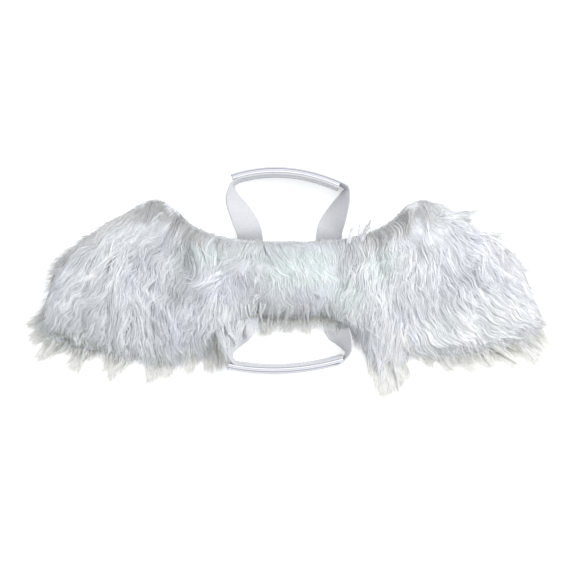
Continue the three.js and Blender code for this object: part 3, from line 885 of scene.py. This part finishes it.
heading = headingAt(locks)[lockOf]
away = roots - locks[lockOf]
aside = away[:, 1] * np.cos(heading) - away[:, 0] * np.sin(heading)
ridge = np.clip(1 - (aside / lock.ridge) ** 2, 0, 1)  # each lock is round across
pile = hair.depth
for height, size, seed in hair.depthHills:
    pile = pile + height * sample(hills(size, seed), roots)
lift = pile * atLeast(hair.lowLevel, level) + lockLift[lockOf] + lockDome[lockOf] * ridge
lift = lift + np.where(stray, own.strayLift, 0) + np.where(bright, hair.brightLift, 0)
lift = np.clip(lift, *hair.liftEnds)[:, None]
settle = 1 - ease(along, 0.45, 1) * own.settle[:, None]
path = inSpace(path, sample(topField, path) - hair.sunk + lift * risen(hair.rise) * settle)
hairWidth = np.where(under, hair.underWidth, hair.overWidth) * own.width
lean = 2 * lockDome[lockOf] * np.clip(aside, -lock.ridge, lock.ridge) / lock.ridge ** 2
roll = hair.lean * np.arctan(lean) + np.where(under, own.underRoll, own.overRoll)
x, y = roots.T
paintedEdgeShade = onSlope(x, y, *slope.coatY) + edge.right * ((x >= edge.rightX) & (y > edge.rightY))
paintedEdgeShade = paintedEdgeShade * (1 - ease(sample(depthField, roots), 0, edge.wide))
gap = own.gap < shadow.gaps * sample(paintedShadowBand, roots)  # deep shade between the lowest locks
# the hairs that catch the light get a painted highlight
shade = lockShade[lockOf] * own.shade * np.where(bright, hair.brightShade, 1)
shade *= (1 - edge.shade * paintedEdgeShade) * np.where(gap, shadow.gapShade, 1)
warm = np.clip(own.warm + edge.warm * paintedEdgeShade, 0, hair.warmest)
tint = strandTint(path, shade[:, None], warm[:, None])
# painted shadow along the lower rim, single locks painted lit across it
shaded = np.where(rng.uniform(0, 1, len(locks)) < shadow.locks, 1, shadow.lit)[lockOf]
tint *= 1 - (shaded[:, None] * sample(paintedShadowBand, path))[..., None] * shadow.tint
strands = path, hairWidth, roll, np.clip(tint, 0, shading.lightest)
for node, side in bySide(x):
    for layer, chosen, every in (("_undercoat", level < 0.5, 2), ("_topcoat", level >= 0.5, 1)):
        ribbons(node + layer, *(a[side & chosen] for a in strands), furCoat, every)

# height of the finished coat, for the hairs that lie on it
coatTop = topField.copy()
cell = tuple(np.round(path[..., k] - grid[0]).astype(int).ravel() for k, grid in ((1, gridY), (0, gridX)))
np.maximum.at(coatTop, cell, path[..., 2].ravel())
for axis in (0, 1):
    coatTop = (np.roll(coatTop, 1, axis) + coatTop + np.roll(coatTop, -1, axis)) / 3


# streaks that lie on top, their tint lightened as painted highlight, charted: start, middle and end of each,
# and its width

streaks = [
    (-47, 7, -58, 1, -70, -6, 5), (-45, 2, -55, -4, -63, -13, 4), (-101, 46, -110, 37, -124, 41, 2.5),
    (-94, 51, -101, 46, -108, 37, 4), (-126, 22, -131, 11, -137, 1, 5), (-146, 6, -157, 1, -171, -7, 5),
    (-110, 1, -114, -12, -104, -26, 5), (-98, -6, -101, -16, -95, -30, 4),
    (-43, -10, -51, -36, -56, -53, 6), (-58, -14, -66, -30, -66, -46, 5),
    (-168, -9, -170, -20, -163, -32, 6), (-30, 16, -34, 4, -31, -8, 4),
    (-120, -10, -124, -24, -120, -40, 5), (-82, -12, -80, -28, -86, -44, 5),
    (-135, -14, -142, -28, -141, -44, 6), (-84, 22, -92, 10, -97, -4, 4), (-15, 14, -8, 4, 3, -1, 4),
    (-8, -4, -3, -12, -4, -22, 4), (24, 10, 28, 5, 33, 0, 4), (-1, 16, 3, 10, 9, 5, 3),
    (42, 12, 49, 4, 51, -6, 4), (88, 36, 94, 18, 88, -4, 5), (107, 35, 112, 18, 106, -6, 5),
    (97, 10, 93, -10, 98, -30, 5), (132, 33, 143, 23, 158, 13, 4), (118, 28, 124, 10, 136, -2, 5),
    (160, -14, 174, -19, 190, -28, 6), (139, -25, 135, -36, 143, -43, 5), (62, -10, 72, -24, 68, -48, 6),
    (78, 5, 74, -18, 80, -50, 6), (113, -8, 110, -24, 118, -40, 6), (148, 18, 158, 8, 172, -2, 5),
    (128, -8, 140, -18, 156, -24, 5), (66, 26, 62, 14, 64, 2, 4), (150, -36, 164, -42, 182, -44, 5),
    (87, -30, 84, -48, 86, -66, 6), (-122, -27, -119, -42, -127, -54, 4),
    (-114, -39, -113, -54, -109, -70, 3), (-107, -37, -105, -51, -100, -65, 3),
    (-87, -42, -85, -54, -78, -62, 4), (-149, -37, -141, -42, -144, -50, 3),
    (-159, -44, -162, -50, -166, -56, 3), (-174, -42, -177, -46, -181, -51, 3),
    (-55, -31, -53, -47, -52, -58, 3), (-64, -30, -59, -42, -57, -56, 3),
    (-67, -8, -72, -24, -69, -36, 4), (-56, -11, -62, -27, -64, -42, 4),
    (-47, -14, -52, -30, -50, -45, 4), (-97, -40, -95, -54, -90, -66, 3),
    (-135, -40, -137, -52, -143, -62, 3), (-72, -40, -71, -52, -67, -62, 3),
    (-25, 8, -25, 0, -27, -8, 3), (-16, 5, -13, -4, -14, -11, 3), (-22, -12, -27, -18, -25, -27, 3),
    (-40, -30, -35, -35, -27, -36, 2), (27, 6, 26, -1, 28, -7, 3), (64, -44, 68, -60, 72, -78, 4),
    (80, -46, 80, -62, 82, -78, 4), (92, -44, 100, -54, 108, -60, 4),
]
streak = Look(
    locks=1.1, hairs=11, sway=0.45, gather=0.7, point=0.35, rootDip=1.2, tipDip=0.8,
    warm=0.05, width=0.3,
    chances=Look(
        first=(-0.12, 0.4), long=(0.45, 0.8), vary=(0.85, 1.1, "hair"), place=(-0.75, 0.75), span=(9, 16),
        phase=(0, 6.3), spread=(0.3, 0.95), apart=(normal, 0, 1, "hair"), lift=(-0.3, 0.4, "hair"),
        shade=(1.04, 1.3), hairShade=(normal, 1, 0.03, "hair"), **hairEnds(0.5),
    ),
)


def lengthAndSide(start, end):
    long = np.linalg.norm(end - start)
    return long, np.array([start[1] - end[1], end[0] - start[0]]) / long


def rippled(long, t, own):
    return np.sin(long * t * 6.28 / own.span + own.phase)


def streakStrands(row, local):
    # thin wavy locks side by side
    start, middle, end = np.array(row[:6], float).reshape(3, 2)
    wide = row[6]
    bend = 2 * middle - (start + end) / 2
    long, across = lengthAndSide(start, end)
    own = drawn(streak.chances, local, int(wide * streak.locks), streak.hairs)
    t = own.first + own.long * own.vary * along
    apart = own.spread * own.apart * (1 - streak.gather * along)
    sideways = own.place * wide * (1 - streak.point * t) + streak.sway * rippled(long, t, own) + apart
    xy = bowed(start, bend, end, t[..., None]) + across * sideways[..., None]
    dip = streak.rootDip * (1 - np.minimum(along / 0.2, 1)) + streak.tipDip * ease(along, 0.7, 1)
    # painted highlight: the streak hairs are lighter than the coat
    tint = strandTint(xy, own.shade * own.hairShade, streak.warm)
    return strandSet(streak, own, xy, sample(coatTop, xy) + own.lift - dip, tint)


# patches where the waves of the hair catch the light, charted: x, y, size, share
crestPatches = [
    (-109, -11, 15, 1), (-80, -1, 9, 0.8), (-93, -30, 13, 1), (-43, -24, 10, 0.8), (-167, -18, 9, 0.7),
    (-128, 28, 12, 0.5), (134, 22, 16, 0.6), (81, 6, 18, 0.8), (111, 6, 14, 0.6), (139, -43, 10, 0.9),
    (150, -10, 14, 0.5), (60, -20, 12, 0.7), (12, 2, 16, 0.4), (49, -10, 10, 1),
]
crest = Look(
    step=1.5, inside=3, pitch=7.4, row=0.3, ragged=0.9, hills=(24, 71), hairs=3, apart=0.3,
    height=0.5, sunk=0.3, warm=0.03, width=0.34,
    chances=Look(
        long=(4, 8), turn=(normal, 0, 0.1), lift=(-0.3, 0.2), shade=(1.05, 1.3), **hairEnds(0.5),
    ),
)


def crestStrands(local):
    # rows of short arches across the lie of the hair
    p = scatter(crest.step, crest.inside, 91)
    row = lie(*p.T)[0] / crest.pitch + crest.ragged * sample(hills(*crest.hills), p)
    onRow = np.abs(row - np.floor(row) - 0.5) < crest.row / 2
    there = local.uniform(0, 1, len(p)) < sample(np.clip(drifted(crestPatches), 0, 1), p)
    p = np.repeat(p[onRow & there], crest.hairs, axis=0)
    p = p + local.normal(0, crest.apart, p.shape)
    own = drawn(crest.chances, local, len(p))
    xy = flow(p, own.long, own.turn)
    arch = crest.height * np.sin(math.pi * along) - crest.sunk
    # painted highlight on the arches
    tint = strandTint(xy, own.shade[:, None], crest.warm)
    return strandSet(crest, own, xy, sample(coatTop, xy) + arch + own.lift[:, None], tint)


sets = [streakStrands(row, seeded(70 + k)) for k, row in enumerate(streaks)]
strands = joined(sets + [crestStrands(seeded(17))])
for node, side in bySide(strands[0][:, 0, 0]):
    ribbons(node + "_streaks", *(a[side] for a in strands), furCoat)


# short pile round the rim, which curls over the edge or stands off it

rim = Look(
    perMm=3.2, uneven=0.4, turnOut=0.75, overZ=7.6, above=0.4, droop=2.2, lowestZ=0.6,
    width=0.3, slopeShade=0.84, slopeWarm=0.6, warm=0.45, pale=0.5,
    upperX=103, upperY=-10, upperShade=0.9,
    chances=Look(
        turn=(normal, 0, 0.25), long=(7, 15), off=(0.3, 2.4), startZ=(2, 6), shade=(normal, 0.93, 0.04),
        **hairEnds(0.8),
    ),
)


def rimStrands(local):
    line = np.vstack([rimRing, rimRing[:1]])
    count = int(runLength(line)[-1] * rim.perMm)
    p = evenPoints(line, count)
    p += local.normal(0, rim.uneven, p.shape)
    own = drawn(rim.chances, local, count)
    dx, dy = (sample(depthField, p + d) - sample(depthField, p - d) for d in np.eye(2))
    outward = -np.stack([dx, dy], -1) / (np.hypot(dx, dy)[:, None] + 1e-6)
    way = towards(headingAt(p) + own.turn)
    inwards = np.minimum(0, (way * outward).sum(1))[:, None]
    way = way - rim.turnOut * inwards * outward
    off = own.off[:, None] * np.sin(math.pi * np.minimum(1, along * 0.9))
    run = own.long[:, None] * along
    xy = p[:, None] + way[:, None] * run[..., None] + outward[:, None] * off[..., None]
    inside = sample(depthField, xy) > 0
    startZ = own.startZ[:, None]
    z = startZ + (rim.overZ - startZ) * np.sqrt(along)
    z = np.where(inside, np.maximum(z, sample(topField, xy) + rim.above),
                 np.maximum(rim.lowestZ, z - rim.droop * along ** 2))
    x, y = p.T
    # painted shade on rim hairs on slopes away from the light and along the upper right edge
    paintedGrey, upper = onSlope(x, y, *slope.rimY), (x > rim.upperX) & (y > rim.upperY)
    shade = own.shade * np.where(paintedGrey, rim.slopeShade, 1) * np.where(upper, rim.upperShade, 1)
    tint = strandTint(xy, shade[:, None], np.where(paintedGrey, rim.slopeWarm, rim.warm)[:, None])
    tint = paled(tint, ease(along, 0.3, 1) * ~inside * rim.pale)
    return strandSet(rim, own, xy, z, tint)


strands = rimStrands(seeded(23))
for node, side in bySide(strands[0][:, 0, 0]):
    ribbons(node + "_rim", *(a[side] for a in strands), furCoat)


# fringe: locks that hang over the rim, charted: x and y of root and tip, height of the tip, width

fringeLocks = {
    "left_wing": [
        (-168, -22, -204, -36, 2, 17), (-170, -30, -202, -48, 1.5, 26), (-166, -34, -197, -63, 1.5, 22),
        (-152, -34, -182, -55, 1.5, 24), (-150, -36, -170, -71, 1.5, 28),
        (-138, -38, -154, -58, 1.5, 25), (-124, -38, -140, -78, 1.5, 33),
        (-112, -40, -124, -62, 1.5, 25), (-98, -40, -109, -81, 1.5, 24), (-86, -40, -96, -77, 1.5, 24),
        (-73, -36, -78, -73, 1.5, 25), (-62, -30, -63, -72, 1.5, 22), (-60, -24, -57, -69, 1.5, 13),
        (-57, -28, -53, -70, 1.5, 13), (-54, -26, -50, -66, 1.5, 7), (-57, -24, -48, -69, 1.5, 11),
        (-55, -22, -45, -61, 19, 10), (-52, -20, -40, -51, 16, 9), (-52, -24, -46, -59, 16, 11),
    ],
    "bridge": [
        (-30, -16, -33, -39, 8, 27), (-14, -16, -18, -44, 5, 28), (0, -16, -2, -42, 5, 28),
        (14, -16, 14, -42, 5, 28), (30, -16, 32, -40, 8, 27), (-38, -18, -41, -51, 15, 14),
        (-29, -16, -29, -44, 10, 16), (46, 24, 50, 42, 8, 7),
    ],
    "right_wing": [
        (58, -20, 60, -55, 4, 12), (62, -28, 68, -81, 1.5, 18), (70, -34, 74, -91, 1.5, 24),
        (76, -38, 79, -88, 1.5, 20), (82, -36, 87, -83, 1.5, 22), (67, -34, 71, -87, 1.5, 16),
        (73, -40, 75, -90, 1.5, 16), (86, -40, 90, -80, 1.5, 14), (80, -40, 83, -87, 1.5, 18),
        (98, -38, 112, -68, 1.5, 25), (110, -38, 127, -72, 1.5, 25), (123, -38, 143, -73, 1.5, 25),
        (136, -36, 160, -69, 1.5, 25), (148, -35, 177, -67, 1.5, 25), (158, -32, 196, -64, 1.5, 26),
        (165, -24, 205, -54, 2, 25), (166, -10, 201, -35, 3, 22), (162, 6, 192, -10, 5, 14),
        (156, 16, 183, 4, 6, 10), (148, 30, 174, 21, 7, 9), (138, 39, 169, 31, 8, 9),
        (112, 48, 148, 52, 8, 9), (112, 44, 141, 47, 8, 10), (53, 26, 62, 47, 8, 9),
    ],
}
fringe = Look(
    hangY=-8, edge=0.6, under=1, rise=0.3, settle=0.6, sunk=0.5,
    bright=0.45, brightShade=1.22, otherShade=1.06,
    first=Look(
        placeA=(-0.25, 0.25), placeB=(-0.25, 0.25), reach=(0, 1), hook=(normal, 0, 2.6), sway=(0.3, 1.1),
        span=(13, 20), phase=(0, 6.3), ends=(0.9, 1.03, "hair"), apart=(normal, 0, 1, "hair"),
        frizz=(normal, 0, 0.14, "point"), shade=(normal, 1, 0.04), hairShade=(normal, 1, 0.03, "hair"),
    ),
    fluff=Look(root=(2, 6, "hair"), deep=(0, 1.6, "hair")),
    standing=Look(lift=(1.5, 4.5), vary=(0.6, 1.1, "hair"), bright=(0, 1, "hair")),
    last=Look(warm=(normal, 0, 0.1, "hair"), **hairEnds(0.7)),
)
onTop = Look(width=0.34, rootShade=0.84, rootLong=0.55, chances=fringe.standing, material=furCoat, every=1)
fringeLayers = {
    # wisps per mm of width, hairs in each, where along the lock they start and end, how far a wisp and the
    # whole lock draw together, how pale the ends are
    # the fluff's dark roots are painted shadow under the coat that overhangs them
    "fluff": Look(
        wisps=1.5, hairs=9, start=0.36, reach=(1, 1.12), apart=1.6, gather=0.8, point=0.7, warm=0.95,
        pale=0.55, width=0.44, rootShade=(0.42, 0.42, 0.35), rootLong=0.8, chances=fringe.fluff,
        material=furFluff, every=2),
    "wisps": Look(
        onTop, wisps=0.2, hairs=14, start=0.05, reach=(0.62, 0.92), apart=0.9, gather=0.95, point=0.5,
        warm=0.22, pale=0.2),
    "points": Look(
        onTop, wisps=0.07, hairs=42, start=0.3, reach=(1, 1.14), apart=1.7, gather=0.88, point=0.88,
        warm=0.8, pale=0.5),
}
# loose hairs at the upper edge, and locks over a strap, which are coloured like the coat
flyaway = Look(
    wisps=3, hairs=12, reach=(1, 1.25), apart=0.9, gather=0.5, warm=0.1, pale=0,
    dim=(0.13, 0.135, 0.17), dimAt=(0.35, 0.85),
)
strapCover = Look(overZ=9, climb=1.5, warm=0.12, pale=0.1, rootShade=0.84, rootLong=0.55)


def fringeStrands(row, kind, local):
    root, tip = np.array(row[:4], float).reshape(2, 2)
    tipZ, wide = row[4:]
    layer = Look(fringeLayers[kind])
    count = max(1, int(wide * layer.wisps))
    loose, overStrap = root[1] > 0, tipZ > strapCover.overZ
    if loose:
        layer.update(flyaway)
        count = layer.wisps
    if overStrap:
        layer.update(strapCover)
    own = drawn({**fringe.first, **layer.chances, **fringe.last}, local, count, layer.hairs)
    long, across = lengthAndSide(root, tip)
    place = own.placeA + own.placeB  # thickest in the middle
    near, far = layer.reach
    end = (near + (far - near) * own.reach) * (1 - fringe.edge * np.abs(place)) * own.ends
    t = layer.start + (end - layer.start) * along
    sideways = place * wide * (1 - layer.point * np.minimum(t, 1) ** 1.5)
    sideways = sideways + (own.hook * t + own.sway * rippled(long, t, own)) * along
    sideways = sideways + layer.apart * own.apart * (1 - layer.gather * along ** 1.2)
    xy = root + (tip - root) * t[..., None] + across * sideways[..., None] + own.frizz * along[:, None]
    ground = sample(topField, xy)
    climb = tipZ * np.minimum(1, (strapCover.climb if overStrap else 1) * t)
    shade = own.shade * own.hairShade
    if kind == "fluff":
        # lies on the floor, or on the strap that passes below
        z = tipZ - 1 + own.root * (1 - along) ** 1.3 + own.deep
        z = np.minimum(z, np.maximum(ground + fringe.under, climb * overStrap))
    else:
        lift = own.lift * own.vary * risen(fringe.rise) * (1 - fringe.settle * along ** 2)
        z = np.maximum(ground, climb) - fringe.sunk + lift
        # painted highlight on some of the standing wisps
        shade = shade * np.where(own.bright < fringe.bright, fringe.brightShade, fringe.otherShade)
    warm = np.clip(layer.warm + own.warm, 0, 1)
    tint = strandTint(xy, shade, warm, layer.rootShade, layer.rootLong)
    tint = paled(tint, ease(t, 0.55, 1) * layer.pale)
    if loose:
        tint = tint * (1 - ease(t, *layer.dimAt)[..., None] * layer.dim)
    return strandSet(layer, own, xy, z, tint)


local = seeded(42)
for node, rows in fringeLocks.items():
    for kind, layer in fringeLayers.items():
        if node == "bridge" and kind == "points":  # soft below the bridge
            continue
        chosen = [row for row in rows if kind != "fluff" or row[1] < fringe.hangY]
        strands = joined(fringeStrands(row, kind, local) for row in chosen)
        ribbons(node + "_fringe_" + kind, *strands, layer.material, layer.every)


# floor, light and camera

def areaLight(name, position, size, power, color):
    data = bpy.data.lights.new(name, "AREA")
    data.size, data.energy, data.color = size, power, color
    ob = newObject(name, data)
    ob.location = position
    ob.rotation_euler = (-Vector(position)).to_track_quat("-Z", "Y").to_euler()


table = Look(half=3, z=-0.0002)  # metres
floorLook = {
    "Base Color": (0.94, 0.94, 0.94, 1), "Specular IOR Level": 0.1,
    "Emission Color": (1, 1, 1, 1), "Emission Strength": 0.3,
}
floorMaterial, _, floorShader = newMaterial("floor", roughness=0.9)
setInputs(floorShader, floorLook)
corners = [(x * table.half, y * table.half, table.z) for x, y in ((-1, -1), (1, -1), (1, 1), (-1, 1))]
floorMesh = bpy.data.meshes.new("floor")
floorMesh.from_pydata(corners, [], [(0, 1, 2, 3)])
floorMesh.materials.append(floorMaterial)
floor = newObject("floor", floorMesh)

lights = {
    # place in metres, size, power, colour
    "key": ((0.75, 0.35, 0.75), 0.5, 8.5, (1, 0.99, 0.97)),
    "fill": ((-0.8, 0.5, 0.9), 0.9, 3, (0.96, 0.98, 1)),
}
sky = {"Color": (0.97, 0.985, 1, 1), "Strength": 0.82}
world = bpy.data.worlds.new("studio")
world.use_nodes = True
setInputs(world.node_tree.nodes["Background"], sky)
scene.world = world
for name, row in lights.items():
    areaLight(name, *row)

view = Look(
    distance=0.62, plane=0.008, mmPerPixel=0.77, pixels=573, axisX=-1.9, axisY=-5.4,
    sensor=36, clip=0.01,
)
cameraData = bpy.data.cameras.new("camera")
cameraData.sensor_width = view.sensor
seen = view.pixels * view.mmPerPixel * mm
cameraData.lens = view.sensor * (view.distance - view.plane) / seen
cameraData.clip_start = view.clip
scene.camera = newObject("camera", cameraData)
scene.camera.location = (view.axisX * mm, view.axisY * mm, view.distance)
scene.view_settings.view_transform = "Standard"
